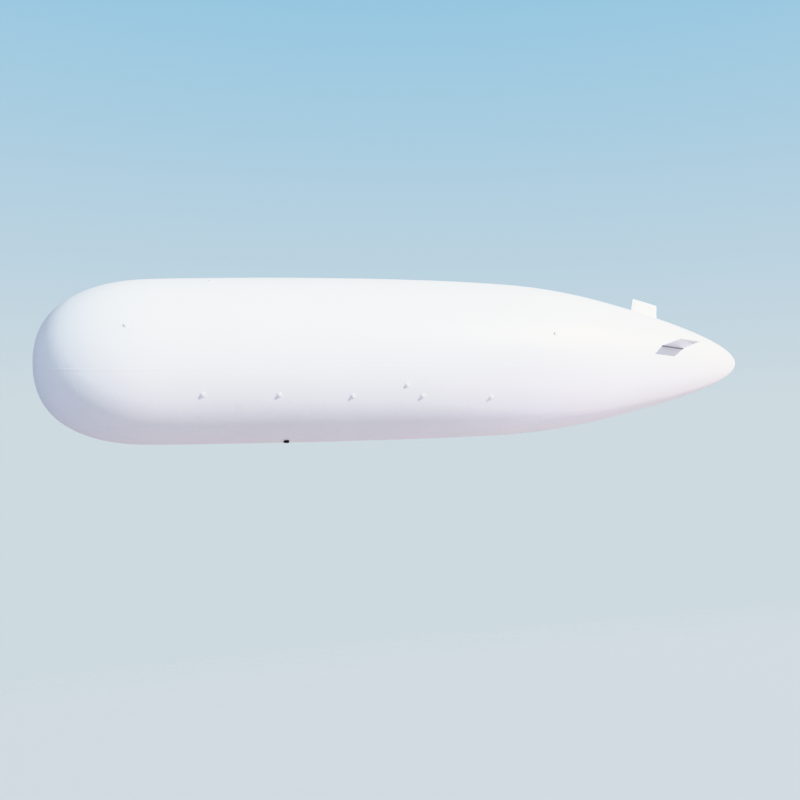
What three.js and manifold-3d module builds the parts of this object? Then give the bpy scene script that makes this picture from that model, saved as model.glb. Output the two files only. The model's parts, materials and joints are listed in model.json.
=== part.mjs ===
// Advertising blimp balloon. A white film envelope of eight lengthwise gores runs between two end discs.
// It has three flat tail fins, welded tie loops along its sides and a capped filling valve under its keel.
// Millimetres, +Z up, nose towards -X, left side towards -Y. The origin is the centre of the gas inside.
// Stations are measured along the axis from the nose. Angles go round the axis, from level on the left side,
// upwards: 0 is left, 90 is the top, 180 is right and -90 is the keel.
import * as THREE from 'three';
import { mergeVertices } from 'three/addons/utils/BufferGeometryUtils.js';
import Module from 'manifold-3d';

const wasm = await Module();
wasm.setup();

// The envelope's outline
const LENGTH = 12000;
const RADIUS = 1300;
const WIDEST_STATION = 5600;
const CROWN_DROP = 70; // the barrel is this much thinner in radius at CROWN_REACH from its widest station
const CROWN_REACH = 4000;
const NOSE_LENGTH = 1700; // the nose is a superellipse
const NOSE_POWER = 2.5;
const TAIL_TIP_RADIUS = 130; // the tail is a paraboloid on a slim cone
const TAIL_SLOPE = 0.062;
const SHOULDER_SHARPNESS = 16; // how quickly the barrel turns into the tail
const BOW = 75; // the axis arches up this much amidships

// How the envelope is made up
const FILM = 10; // thickness of its wall
const GAP = 0.3; // between pieces that touch
const GORE_NAMES = ['left', 'upper_left', 'top', 'upper_right', 'right', 'lower_right', 'keel', 'lower_left'];
const GORE_ANGLE = 360 / GORE_NAMES.length;
const GORE_ARC_STEPS = 6;
const GORE_LENGTH_STEPS = 30;
const NOSE_DISC_RADIUS = 250;
const TAIL_DISC_RADIUS = 120;
const DISC_RINGS = 3;

// The fins: flat, with the root on the envelope. Name, angle, station of the root's front end.
const FINS = [
  ['fin_left', 0, 9870],
  ['fin_top', 90, 9965],
  ['fin_right', 180, 9870],
];
const FIN_RUN = 520; // from the root's front end to its back end, along the axis
const FIN_SPAN = 380;
const FIN_THICKNESS = 12;
const FIN_FRONT_LEAN = 4; // degrees each edge leans inwards from the root's normal
const FIN_BACK_LEAN = 4;
const FIN_CORNER_RADIUS = 14;
const EYELET_RADIUS = 13;
const EYELET_CHORDS = [0.66, 0.78]; // fractions of the chord, from the front
const EYELET_HEIGHT = 0.76; // fraction of the span

// The tie loops on the left side: name, station, angle. Each has its mirror image on the right.
const TIES = [
  ['nose', 1285, 6.8],
  ['shoulder', 2450, 51],
  ['row_1', 2280, -39.5],
  ['row_2', 3333, -40.5],
  ['row_3', 4403, -42],
  ['row_4', 5477, -42.8],
  ['row_5', 6600, -44.8],
  ['waist', 5212, -34.8],
  ['aft', 7673, 1.5],
];
const PATCH_LENGTH = 90;
const PATCH_WIDTH = 80;
const PATCH_THICKNESS = 3;
const PATCH_CORNER_RADIUS = 18;
const LOOP_SPREAD = 40; // across, between the outsides of its legs
const LOOP_HEIGHT = 26; // above the envelope
const LOOP_STRAP_WIDTH = 25;
const LOOP_STRAP_THICKNESS = 4;
const LOOP_CORNER_RADIUS = 10; // outside; the inside has the strap's thickness less

// The filling valve under the keel
const VALVE_STATION = 3551;
const VALVE_FLANGE_RADIUS = 75;
const VALVE_FLANGE_THICKNESS = 3;
const VALVE_RADIUS = 36;
const VALVE_BORE_RADIUS = 23;
const VALVE_HEIGHT = 20; // of the body's rim above the flange
const VALVE_FLOOR = 4; // thickness of the body's floor
const CAP_THICKNESS = 9;
const CAP_EDGE = 2; // bevel round the cap's outer face
const HINGE_OUT = 45; // hinge axis from the valve's own axis, towards the nose
const ARM_DROP = 1; // the arms that carry the hinge stay this far below the rim
const ARM_OVERLAP = 7; // of each arm into the body's wall
const TONGUE_OVERLAP = 4; // of the cap's tongue into the cap
const HINGE_PIN_RADIUS = 2;
const HINGE_RUNNING_CLEARANCE = 0.4;
const KNUCKLE_RADIUS = 4.6;
const KNUCKLE_WIDTH = 12;
const EAR_WIDTH = 5;
const EAR_GAP = 0.6; // on each side of the knuckle

// Fineness
const ROUND_STEPS = 32;
const CORNER_STEPS = 3;
const HOLE_STEPS = 14;
const GAS_SLICES = 2000;
const HALVINGS = 60; // when a station is searched for
const SLOPE_STEP = 0.25; // to each side, when the outline's slope is measured
const TINY = 1e-6;

function finish(color, roughness) {
  return (name) => new THREE.MeshStandardMaterial({ name, color, roughness, metalness: 0 });
}
const film = finish(0xf1f4f6, 0.45);
const webbing = finish(0xe6e8e6, 0.8);
const blackPlastic = finish(0x1b1c1e, 0.5);

const group = new THREE.Group();

function add(name, geometry, material, frame = new THREE.Matrix4()) {
  const mesh = new THREE.Mesh(geometry, material(name));
  mesh.name = name;
  mesh.applyMatrix4(frame);
  group.add(mesh);
}

// The envelope's shape

function radiusAt(station) {
  const barrel = RADIUS - CROWN_DROP * ((station - WIDEST_STATION) / CROWN_REACH) ** 2;
  const fromTip = LENGTH - station;
  const tail = TAIL_SLOPE * fromTip + Math.sqrt(2 * TAIL_TIP_RADIUS * fromTip);
  const blended = barrel * (1 + (barrel / tail) ** SHOULDER_SHARPNESS) ** (-1 / SHOULDER_SHARPNESS);
  const toBarrel = Math.max(0, 1 - station / NOSE_LENGTH);
  return blended * (1 - toBarrel ** NOSE_POWER) ** (1 / NOSE_POWER);
}

function riseAt(station) {
  return 4 * BOW * (station / LENGTH) * (1 - station / LENGTH);
}

// The middle of the gas: the mean station and rise, weighted by the area of each cross-section
function gasCentre() {
  let volume = 0;
  let station = 0;
  let rise = 0;
  for (let i = 0; i < GAS_SLICES; i++) {
    const middle = ((i + 0.5) / GAS_SLICES) * LENGTH;
    const area = radiusAt(middle) ** 2;
    volume += area;
    station += area * middle;
    rise += area * riseAt(middle);
  }
  return { station: station / volume, rise: rise / volume };
}
const CENTRE = gasCentre();

// The station where the radius reaches a value, between two stations
function stationOfRadius(radius, low, high) {
  const rising = radiusAt(high) > radiusAt(low);
  for (let i = 0; i < HALVINGS; i++) {
    const middle = (low + high) / 2;
    if (radiusAt(middle) < radius === rising) low = middle;
    else high = middle;
  }
  return (low + high) / 2;
}

// A point of the outline, set in by depth along the outline's normal: its station and radius
function outline(station, depth) {
  const before = Math.max(0, station - SLOPE_STEP);
  const after = Math.min(LENGTH, station + SLOPE_STEP);
  const normal = new THREE.Vector2(radiusAt(before) - radiusAt(after), after - before).normalize();
  return new THREE.Vector2(station - depth * normal.x, radiusAt(station) - depth * normal.y);
}

function envelopePoint(station, radius, degrees) {
  const angle = THREE.MathUtils.degToRad(degrees);
  const height = riseAt(station) - CENTRE.rise;
  return new THREE.Vector3(
    station - CENTRE.station,
    -radius * Math.cos(angle),
    radius * Math.sin(angle) + height,
  );
}

// Solids for cutting and joining

function solid(geometry) {
  const bare = geometry.index ? geometry.clone() : mergeVertices(geometry);
  bare.deleteAttribute('normal');
  bare.deleteAttribute('uv');
  const merged = mergeVertices(bare);
  return new wasm.Manifold(new wasm.Mesh({
    numProp: 3,
    vertProperties: new Float32Array(merged.attributes.position.array),
    triVerts: new Uint32Array(merged.index.array),
  }));
}

function geometryOf(manifold) {
  const mesh = manifold.getMesh();
  const geometry = new THREE.BufferGeometry();
  geometry.setAttribute('position', new THREE.BufferAttribute(new Float32Array(mesh.vertProperties), 3));
  geometry.setIndex(new THREE.BufferAttribute(new Uint32Array(mesh.triVerts), 1));
  return geometry;
}

// The gores: a block, divided along its length and arc, bent onto the envelope

const noseRim = stationOfRadius(NOSE_DISC_RADIUS, 0, NOSE_LENGTH);
const tailRim = stationOfRadius(TAIL_DISC_RADIUS, LENGTH - NOSE_LENGTH, LENGTH);
const goreFront = stationOfRadius(NOSE_DISC_RADIUS + GAP, 0, NOSE_LENGTH);
const goreBack = stationOfRadius(TAIL_DISC_RADIUS + GAP, LENGTH - NOSE_LENGTH, LENGTH);

// Stations crowd together towards both ends, where the outline curves most
function goreStation(step) {
  const along = (1 - Math.cos((Math.PI * step) / GORE_LENGTH_STEPS)) / 2;
  return goreFront + (goreBack - goreFront) * along;
}

function goreGeometry(middleAngle) {
  const geometry = new THREE.BoxGeometry(1, 1, 1, GORE_ARC_STEPS, 1, GORE_LENGTH_STEPS);
  const position = geometry.attributes.position;
  for (let i = 0; i < position.count; i++) {
    const across = position.getX(i) * 2; // -1 and 1 at the seams
    const depth = (0.5 - position.getY(i)) * FILM;
    const step = Math.round((position.getZ(i) + 0.5) * GORE_LENGTH_STEPS);
    const point = outline(goreStation(step), depth);
    const seamGap = THREE.MathUtils.radToDeg(Math.asin(GAP / 2 / point.y));
    const atSeam = Math.abs(across) > 1 - TINY;
    const swing = across * (GORE_ANGLE / 2) - (atSeam ? Math.sign(across) * seamGap : 0);
    const place = envelopePoint(point.x, point.y, middleAngle + swing);
    position.setXYZ(i, place.x, place.y, place.z);
  }
  return geometry;
}

GORE_NAMES.forEach((name, i) => add(`gore_${name}`, goreGeometry(i * GORE_ANGLE), film));

// The end discs: turned shells that close the envelope where the gores' tips meet

function discGeometry(tip, rim) {
  const steps = GORE_NAMES.length * GORE_ARC_STEPS;
  const rimRadius = radiusAt(rim);
  const outer = [];
  const inner = [];
  for (let i = 1; i <= DISC_RINGS; i++) {
    const station = stationOfRadius((rimRadius * i) / DISC_RINGS, tip, rim);
    const skin = outline(station, 0);
    const lining = outline(station, FILM);
    outer.push(new THREE.Vector2(skin.y, skin.x));
    inner.push(new THREE.Vector2(lining.y, lining.x));
  }
  const inwards = Math.sign(rim - tip);
  const outerTip = new THREE.Vector2(0, tip);
  const innerTip = new THREE.Vector2(0, tip + inwards * FILM);
  const section = [outerTip, ...outer, ...inner.reverse(), innerTip];
  if (inwards < 0) section.reverse();
  const geometry = new THREE.LatheGeometry(section, steps);
  const position = geometry.attributes.position;
  for (let i = 0; i < position.count; i++) {
    const station = position.getY(i);
    const radius = Math.hypot(position.getX(i), position.getZ(i));
    const degrees = THREE.MathUtils.radToDeg(Math.atan2(position.getZ(i), position.getX(i)));
    const place = envelopePoint(station, radius, degrees);
    position.setXYZ(i, place.x, place.y, place.z);
  }
  return geometry;
}

add('disc_nose', discGeometry(0, noseRim), film);
add('disc_tail', discGeometry(LENGTH, tailRim), film);

// Seats: where a piece stands on the flat facets of the gores

const FACET_ANGLE = GORE_ANGLE / GORE_ARC_STEPS;

// A point of the faceted envelope between two of its rings, and the direction of its facet along the rings
function facetPoint(station, degrees) {
  let step = 0;
  while (step < GORE_LENGTH_STEPS - 1 && goreStation(step + 1) <= station) step++;
  const low = Math.floor(degrees / FACET_ANGLE) * FACET_ANGLE;
  const round = (degrees - low) / FACET_ANGLE;
  const onRing = (ring) => {
    const start = envelopePoint(ring, radiusAt(ring), low);
    return start.lerp(envelopePoint(ring, radiusAt(ring), low + FACET_ANGLE), round);
  };
  const front = onRing(goreStation(step));
  const back = onRing(goreStation(step + 1));
  const along = (station - goreStation(step)) / (goreStation(step + 1) - goreStation(step));
  return { point: front.clone().lerp(back, along), aft: back.sub(front).normalize() };
}

// A frame on the envelope: x runs aft, z stands out, y completes it. On a ridge it leans to neither facet.
function seatFrame(station, degrees) {
  const facets = degrees / FACET_ANGLE;
  const onRidge = Math.abs(facets - Math.round(facets)) < TINY;
  const middle = onRidge ? degrees : (Math.floor(facets) + 0.5) * FACET_ANGLE;
  const quarter = FACET_ANGLE / 4;
  const { point, aft } = facetPoint(station, degrees);
  const high = facetPoint(station, middle + quarter).point;
  const up = high.sub(facetPoint(station, middle - quarter).point);
  const out = aft.clone().cross(up).normalize();
  const round = out.clone().cross(aft);
  return new THREE.Matrix4().makeBasis(aft, round, out).setPosition(point.addScaledVector(out, GAP));
}

// The fins

function roundHole(x, y, radius) {
  const hole = new THREE.Path();
  hole.absarc(x, y, radius, 0, 2 * Math.PI, true);
  return hole;
}

// The fin's outline lies in the plane of its root and the envelope's normal: x aft along the root, y out
function addFin(name, degrees, frontStation) {
  const backStation = frontStation + FIN_RUN;
  const front = facetPoint(frontStation, degrees).point;
  const back = facetPoint(backStation, degrees).point;
  const aft = back.clone().sub(front).normalize();
  const onAxis = envelopePoint(frontStation, 0, degrees);
  const out = envelopePoint(frontStation, RADIUS, degrees).sub(onAxis);
  out.addScaledVector(aft, -out.dot(aft)).normalize();
  const flat = (point) => {
    const fromFront = point.clone().sub(front);
    return new THREE.Vector2(fromFront.dot(aft), fromFront.dot(out) + GAP);
  };

  const root = [flat(back)];
  for (let step = GORE_LENGTH_STEPS; step >= 0; step--) {
    const station = goreStation(step);
    const onRoot = station > frontStation && station < backStation;
    if (onRoot) root.push(flat(facetPoint(station, degrees).point));
  }
  root.push(flat(front));
  const chord = flat(back).x;
  const lean = (angle) => FIN_SPAN * Math.tan(THREE.MathUtils.degToRad(angle));
  const tipFront = lean(FIN_FRONT_LEAN);
  const tipBack = chord - lean(FIN_BACK_LEAN);
  const shape = new THREE.Shape();
  shape.moveTo(root[0].x, root[0].y);
  shape.lineTo(tipBack, FIN_SPAN - FIN_CORNER_RADIUS);
  shape.quadraticCurveTo(tipBack, FIN_SPAN, tipBack - FIN_CORNER_RADIUS, FIN_SPAN);
  shape.lineTo(tipFront + FIN_CORNER_RADIUS, FIN_SPAN);
  shape.quadraticCurveTo(tipFront, FIN_SPAN, tipFront, FIN_SPAN - FIN_CORNER_RADIUS);
  root.reverse().forEach((point) => shape.lineTo(point.x, point.y));
  EYELET_CHORDS.forEach((fraction) => {
    shape.holes.push(roundHole(fraction * chord, EYELET_HEIGHT * FIN_SPAN, EYELET_RADIUS));
  });
  const geometry = new THREE.ExtrudeGeometry(shape, {
    depth: FIN_THICKNESS,
    bevelEnabled: false,
    curveSegments: HOLE_STEPS,
  });
  geometry.translate(0, 0, -FIN_THICKNESS / 2);
  const across = aft.clone().cross(out);
  add(name, geometry, film, new THREE.Matrix4().makeBasis(aft, out, across).setPosition(front));
}

FINS.forEach(([name, degrees, frontStation]) => addFin(name, degrees, frontStation));

// The tie loops: a strap bent into a square-topped loop on a patch. Its eye looks along the envelope.

function roundedShape(corners, radius) {
  const shape = new THREE.Shape();
  corners.forEach((corner, i) => {
    const before = corners[(i + corners.length - 1) % corners.length];
    const after = corners[(i + 1) % corners.length];
    const start = corner.clone().add(before.clone().sub(corner).setLength(radius));
    const end = corner.clone().add(after.clone().sub(corner).setLength(radius));
    if (i === 0) shape.moveTo(start.x, start.y);
    else shape.lineTo(start.x, start.y);
    shape.quadraticCurveTo(corner.x, corner.y, end.x, end.y);
  });
  shape.closePath();
  return shape;
}

function rectangle(left, right, bottom, top) {
  return [
    new THREE.Vector2(left, bottom),
    new THREE.Vector2(right, bottom),
    new THREE.Vector2(right, top),
    new THREE.Vector2(left, top),
  ];
}

function tieGeometry() {
  const half = LOOP_SPREAD / 2;
  const strap = LOOP_STRAP_THICKNESS;
  const loopShape = roundedShape(rectangle(-half, half, 0, LOOP_HEIGHT), LOOP_CORNER_RADIUS);
  const eye = rectangle(-half + strap, half - strap, PATCH_THICKNESS + strap, LOOP_HEIGHT - strap);
  loopShape.holes.push(roundedShape(eye.reverse(), LOOP_CORNER_RADIUS - strap));
  const loop = new THREE.ExtrudeGeometry(loopShape, {
    depth: LOOP_STRAP_WIDTH,
    bevelEnabled: false,
    curveSegments: CORNER_STEPS,
  });
  loop.translate(0, 0, -LOOP_STRAP_WIDTH / 2);
  const eyeAlong = new THREE.Matrix4().makeBasis(
    new THREE.Vector3(0, 1, 0),
    new THREE.Vector3(0, 0, 1),
    new THREE.Vector3(1, 0, 0),
  );
  loop.applyMatrix4(eyeAlong);
  const patchCorners = rectangle(-PATCH_LENGTH / 2, PATCH_LENGTH / 2, -PATCH_WIDTH / 2, PATCH_WIDTH / 2);
  const patch = new THREE.ExtrudeGeometry(roundedShape(patchCorners, PATCH_CORNER_RADIUS), {
    depth: PATCH_THICKNESS,
    bevelEnabled: false,
    curveSegments: CORNER_STEPS,
  });
  return geometryOf(solid(patch).add(solid(loop)));
}

TIES.forEach(([name, station, degrees]) => {
  add(`tie_${name}_left`, tieGeometry(), webbing, seatFrame(station, degrees));
  add(`tie_${name}_right`, tieGeometry(), webbing, seatFrame(station, 180 - degrees));
});

// The valve: a welded flange, a cup-shaped body with two hinge ears and a pin, and a flat hinged cap.
// In its own frame x runs aft, z stands out from the keel and the hinge is on the nose side.

const rimHeight = VALVE_FLANGE_THICKNESS + GAP + VALVE_HEIGHT;
const hingeHeight = rimHeight + GAP + CAP_THICKNESS / 2;

function turned(profile) {
  const points = profile.map(([radius, height]) => new THREE.Vector2(radius, height));
  const geometry = new THREE.LatheGeometry(points, ROUND_STEPS);
  geometry.rotateX(Math.PI / 2);
  return geometry;
}

function hingeRod(radius, width) {
  const rod = new THREE.CylinderGeometry(radius, radius, width, HOLE_STEPS);
  rod.translate(-HINGE_OUT, 0, hingeHeight);
  return rod;
}

function block(x0, x1, y0, y1, z0, z1) {
  const box = new THREE.BoxGeometry(x1 - x0, y1 - y0, z1 - z0);
  box.translate((x0 + x1) / 2, (y0 + y1) / 2, (z0 + z1) / 2);
  return box;
}

function flangeGeometry() {
  return turned([
    [0, 0],
    [VALVE_FLANGE_RADIUS, 0],
    [VALVE_FLANGE_RADIUS, VALVE_FLANGE_THICKNESS],
    [0, VALVE_FLANGE_THICKNESS],
  ]);
}

const EAR_INSIDE = KNUCKLE_WIDTH / 2 + EAR_GAP;

// One hinge ear, to one side of the knuckle: an arm out of the body's wall, a post and a round head
function earPieces(side, bottom) {
  const near = side * EAR_INSIDE;
  const far = side * (EAR_INSIDE + EAR_WIDTH);
  const low = Math.min(near, far);
  const high = Math.max(near, far);
  const front = -HINGE_OUT - KNUCKLE_RADIUS;
  const back = -HINGE_OUT + KNUCKLE_RADIUS;
  const inWall = -VALVE_RADIUS + ARM_OVERLAP;
  const head = hingeRod(KNUCKLE_RADIUS, EAR_WIDTH);
  head.translate(0, (low + high) / 2, 0);
  return [
    head,
    block(front, inWall, low, high, bottom, rimHeight - ARM_DROP),
    block(front, back, low, high, bottom, hingeHeight),
  ];
}

function bodyGeometry() {
  const seat = VALVE_FLANGE_THICKNESS + GAP;
  const floor = seat + VALVE_FLOOR;
  const cup = turned([
    [0, seat],
    [VALVE_RADIUS, seat],
    [VALVE_RADIUS, rimHeight],
    [VALVE_BORE_RADIUS, rimHeight],
    [VALVE_BORE_RADIUS, floor],
    [0, floor],
  ]);
  const pin = hingeRod(HINGE_PIN_RADIUS, 2 * EAR_INSIDE + EAR_WIDTH);
  const pieces = [...earPieces(-1, floor), ...earPieces(1, floor), pin];
  const body = pieces.reduce((joined, piece) => joined.add(solid(piece)), solid(cup));
  return geometryOf(body);
}

function capGeometry() {
  const bottom = rimHeight + GAP;
  const top = bottom + CAP_THICKNESS;
  const lid = turned([
    [0, bottom],
    [VALVE_RADIUS, bottom],
    [VALVE_RADIUS, top - CAP_EDGE],
    [VALVE_RADIUS - CAP_EDGE, top],
    [0, top],
  ]);
  const knuckle = hingeRod(KNUCKLE_RADIUS, KNUCKLE_WIDTH);
  const half = KNUCKLE_WIDTH / 2;
  const inCap = -VALVE_RADIUS + TONGUE_OVERLAP;
  const tongue = block(-HINGE_OUT, inCap, -half, half, bottom, top - CAP_EDGE);
  const bore = hingeRod(HINGE_PIN_RADIUS + HINGE_RUNNING_CLEARANCE, 2 * KNUCKLE_WIDTH);
  return geometryOf(solid(lid).add(solid(knuckle)).add(solid(tongue)).subtract(solid(bore)));
}

const valveFrame = seatFrame(VALVE_STATION, -90);
add('valve_flange', flangeGeometry(), film, valveFrame);
add('valve_body', bodyGeometry(), blackPlastic, valveFrame);
add('valve_cap', capGeometry(), blackPlastic, valveFrame);

export default group;
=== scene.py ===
# %% [markdown]
# # Advertising blimp balloon
# This lesson dresses a long white film balloon. The real thing is 12 m long and is welded from strips of thin
# PVC film. It comes with three flat fins, a row of webbing loops to tie it down and a small filling valve
# under its keel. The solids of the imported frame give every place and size, so each new piece is made where
# its solid is, in metres, and the solid is then hidden behind it.

# %% Load the frame
import json
import math
from functools import partial

import bpy
import numpy as np
from mathutils import Matrix, Vector, noise

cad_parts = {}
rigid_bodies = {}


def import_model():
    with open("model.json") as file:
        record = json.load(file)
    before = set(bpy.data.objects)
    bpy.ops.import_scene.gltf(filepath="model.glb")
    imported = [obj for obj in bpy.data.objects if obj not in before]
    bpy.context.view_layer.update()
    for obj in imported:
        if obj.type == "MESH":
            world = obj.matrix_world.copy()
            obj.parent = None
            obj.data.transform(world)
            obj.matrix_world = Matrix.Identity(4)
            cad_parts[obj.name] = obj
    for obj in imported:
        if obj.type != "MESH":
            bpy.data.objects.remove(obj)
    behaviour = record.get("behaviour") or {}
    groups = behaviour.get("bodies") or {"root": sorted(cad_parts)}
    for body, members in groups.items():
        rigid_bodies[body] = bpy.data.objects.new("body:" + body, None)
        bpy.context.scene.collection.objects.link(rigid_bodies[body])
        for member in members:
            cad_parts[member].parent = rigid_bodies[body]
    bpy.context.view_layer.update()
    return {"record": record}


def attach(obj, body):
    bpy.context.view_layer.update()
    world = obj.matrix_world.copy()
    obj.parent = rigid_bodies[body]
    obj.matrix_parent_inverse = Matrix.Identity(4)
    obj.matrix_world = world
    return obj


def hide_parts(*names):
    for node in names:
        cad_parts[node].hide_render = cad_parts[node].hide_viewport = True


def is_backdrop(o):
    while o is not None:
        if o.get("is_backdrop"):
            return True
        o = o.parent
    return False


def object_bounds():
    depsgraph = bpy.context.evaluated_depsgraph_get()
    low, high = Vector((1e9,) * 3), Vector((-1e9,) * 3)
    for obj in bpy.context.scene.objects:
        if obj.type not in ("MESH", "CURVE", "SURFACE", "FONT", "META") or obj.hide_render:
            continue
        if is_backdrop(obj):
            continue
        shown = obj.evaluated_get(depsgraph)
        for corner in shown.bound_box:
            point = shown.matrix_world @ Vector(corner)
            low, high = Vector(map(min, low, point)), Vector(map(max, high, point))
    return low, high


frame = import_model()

# %% [markdown]
# ## The balloon's outline
# A balloon like this is a body of revolution: its shape is one curve, turned round a long axis. The curve has
# three stretches, a round nose, a middle that swells only a little and a tail like a slim egg. Writing it as
# a function of the distance from the nose lets every later piece ask where the film is. The axis itself
# arches up a little amidships, because the gas lifts the middle.

# %% Outline
LENGTH = 12.0
RADIUS = 1.3
WIDEST = 5.6
CROWN_DROP, CROWN_REACH = 0.07, 4.0
NOSE_LENGTH, NOSE_POWER = 1.7, 2.5
TAIL_TIP_RADIUS, TAIL_SLOPE = 0.13, 0.062
SHOULDER_SHARPNESS = 16
BOW = 0.075
SLICES = 2000


def radius_at(station):
    """The balloon's radius at a distance from the nose, in metres; it takes numbers or arrays."""
    station = np.asarray(station, float)
    barrel = RADIUS - CROWN_DROP * ((station - WIDEST) / CROWN_REACH) ** 2
    from_tip = np.maximum(LENGTH - station, 1e-9)
    tail = TAIL_SLOPE * from_tip + np.sqrt(2 * TAIL_TIP_RADIUS * from_tip)
    blended = barrel * (1 + (barrel / tail) ** SHOULDER_SHARPNESS) ** (-1 / SHOULDER_SHARPNESS)
    to_barrel = np.clip(1 - station / NOSE_LENGTH, 0, 1)
    return blended * (1 - to_barrel**NOSE_POWER) ** (1 / NOSE_POWER)


def rise_at(station):
    """How far the arched axis lies above the straight line between the two tips."""
    return 4 * BOW * (station / LENGTH) * (1 - station / LENGTH)


slices = (np.arange(SLICES) + 0.5) / SLICES * LENGTH
weights = radius_at(slices) ** 2
CENTRE_STATION = float((weights * slices).sum() / weights.sum())
CENTRE_RISE = float((weights * rise_at(slices)).sum() / weights.sum())
print("the gas centre is", round(CENTRE_STATION, 3), "m behind the nose")

# %% [markdown]
# ## A point on the film
# `film_point` turns a station, an angle and a height above the film into a point. Angle 0 is the left side,
# 90 the top, 180 the right and -90 the keel. Eight gores are welded side by side, and the gas pushes each one
# out between its seams, so the film is drawn in by half a millimetre at a seam. Soft film is also never quite
# even: slow, smooth noise moves it by a millimetre or two, which the eye reads in the reflections.

# %% Film surface
GORE_NAMES = ["left", "upper_left", "top", "upper_right", "right", "lower_right", "keel", "lower_left"]
GORE_ANGLE = 360 / len(GORE_NAMES)
SEAM_PULL = 0.0005
UNEVEN, UNEVEN_SIZE = 0.0022, 0.8
SLOPE_STEP = 2e-4


def outline_normal(station):
    """The outline's normal at a station: how much it points backwards and how much outwards."""
    before, after = np.maximum(station - SLOPE_STEP, 0), np.minimum(station + SLOPE_STEP, LENGTH)
    back, out = radius_at(before) - radius_at(after), after - before
    size = np.hypot(back, out)
    return back / size, out / size


def film_point(station, degrees, lift=0.0):
    """Points on the film, lifted off it by so many metres, as an array with a row for each."""
    station, degrees, lift = np.broadcast_arrays(*(np.asarray(v, float) for v in (station, degrees, lift)))
    across = (degrees + GORE_ANGLE / 2) % GORE_ANGLE / GORE_ANGLE * 2 - 1
    full = np.clip(radius_at(station) / RADIUS, 0, 1)
    lift = lift - SEAM_PULL * full * across**4
    back, out = outline_normal(station)
    along, radius = station + lift * back, radius_at(station) + lift * out
    sine, cosine = np.sin(np.radians(degrees)), np.cos(np.radians(degrees))
    rise = radius * sine + rise_at(along) - CENTRE_RISE
    point = np.stack([along - CENTRE_STATION, -radius * cosine, rise], axis=-1)
    wave = [noise.noise(Vector(p) / UNEVEN_SIZE) for p in point.reshape(-1, 3)]
    swell = UNEVEN * full * np.array(wave).reshape(station.shape)
    return point + swell[..., None] * np.stack([back, -out * cosine, out * sine], axis=-1)


def station_of(radius, low, high):
    """The station between low and high where the outline has a radius."""
    stations = np.linspace(low, high, 20001)
    radii = radius_at(stations)
    if radii[0] > radii[-1]:
        return np.interp(radius, radii[::-1], stations[::-1])
    return np.interp(radius, radii, stations)


print("top of the film amidships:", film_point(5.6, 90).round(3), " keel:", film_point(5.6, -90).round(3))

# %% [markdown]
# ## The camera
# The camera comes before the looks, because it decides which details show. Its place was worked out from the
# balloon's outline in the picture, as seen by a level camera: where the nose tip is, how far the axis is
# turned and how much it climbs. The real balloon had also rolled about its own axis. The part stays upright,
# so the roll goes to the camera, which looks up at the balloon from low on its left side.

# %% Camera
PICTURE, SENSOR = 800, 36
FOCAL, HORIZON = 785, 372  # in pixels
NOSE_TIP_SEEN = Vector((-5.2332, 0.1037, -11.2433))  # to the right, up and back of the eye
TURNED, CLIMB, ROLL = math.radians(17), math.radians(0.2416), math.radians(17.4)

axis = Vector((math.cos(TURNED) * math.cos(CLIMB), math.sin(CLIMB), -math.sin(TURNED) * math.cos(CLIMB)))
upright = (Vector((0, 1, 0)) - axis * axis.y).normalized()
to_eye = axis.cross(upright)
left = math.cos(ROLL) * to_eye + math.sin(ROLL) * upright
up = math.cos(ROLL) * upright - math.sin(ROLL) * to_eye
to_part = Matrix((axis, -left, up))
eye = Vector((-CENTRE_STATION, 0, -CENTRE_RISE)) - to_part @ NOSE_TIP_SEEN
pitch = Matrix.Rotation(-math.atan((PICTURE / 2 - HORIZON) / FOCAL), 3, "X")

bpy.ops.object.select_all(action="DESELECT")
bpy.ops.object.camera_add()
camera = bpy.context.object
camera.name = "photo_camera"
camera.data.sensor_width = SENSOR
camera.data.lens = SENSOR * FOCAL / PICTURE
camera.data.clip_end = 400
camera.matrix_world = Matrix.Translation(eye) @ (to_part @ pitch).to_4x4()
bpy.context.scene.camera = camera
print("the eye is at", tuple(round(v, 2) for v in eye), "with a lens of", round(camera.data.lens, 1), "mm")

# %% [markdown]
# ## Working on one piece
# Each operator acts on whatever is selected, and loading the frame leaves its solids selected. So every new
# piece starts with nothing selected. These helpers open a piece, apply a modifier to it, round its edges,
# join it to others and turn its faces outwards.

# %% Piece helpers
def start():
    """Leaves edit mode, if need be, with nothing selected."""
    if bpy.context.object and bpy.context.object.mode != "OBJECT":
        bpy.ops.object.mode_set(mode="OBJECT")
    bpy.ops.object.select_all(action="DESELECT")


def added(operator, **settings):
    """Runs an operator that adds an object, with nothing selected before it, and returns the object."""
    start()
    operator(**settings)
    return bpy.context.object


def only(piece):
    """Selects one piece and makes it active."""
    start()
    piece.select_set(True)
    bpy.context.view_layer.objects.active = piece


def edit(piece, mode="FACE", action="DESELECT"):
    """Opens a piece in edit mode, with nothing or all of it selected."""
    only(piece)
    bpy.ops.object.mode_set(mode="EDIT")
    bpy.ops.mesh.select_mode(type=mode)
    bpy.ops.mesh.select_all(action=action)


def modify(piece, kind, **settings):
    """Adds a modifier with its settings and applies it."""
    only(piece)
    modifier = piece.modifiers.new(kind.title(), kind)
    for name, value in settings.items():
        setattr(modifier, name, value)
    bpy.ops.object.modifier_apply(modifier=modifier.name)


def soften(piece, width, degrees=50):
    """Rounds the edges that are sharper than an angle."""
    modify(piece, "BEVEL", width=width, segments=2, limit_method="ANGLE", angle_limit=math.radians(degrees))


def join(pieces):
    """Joins pieces into the first of them."""
    only(pieces[0])
    for piece in pieces:
        piece.select_set(True)
    bpy.ops.object.join()
    return pieces[0]


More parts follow.
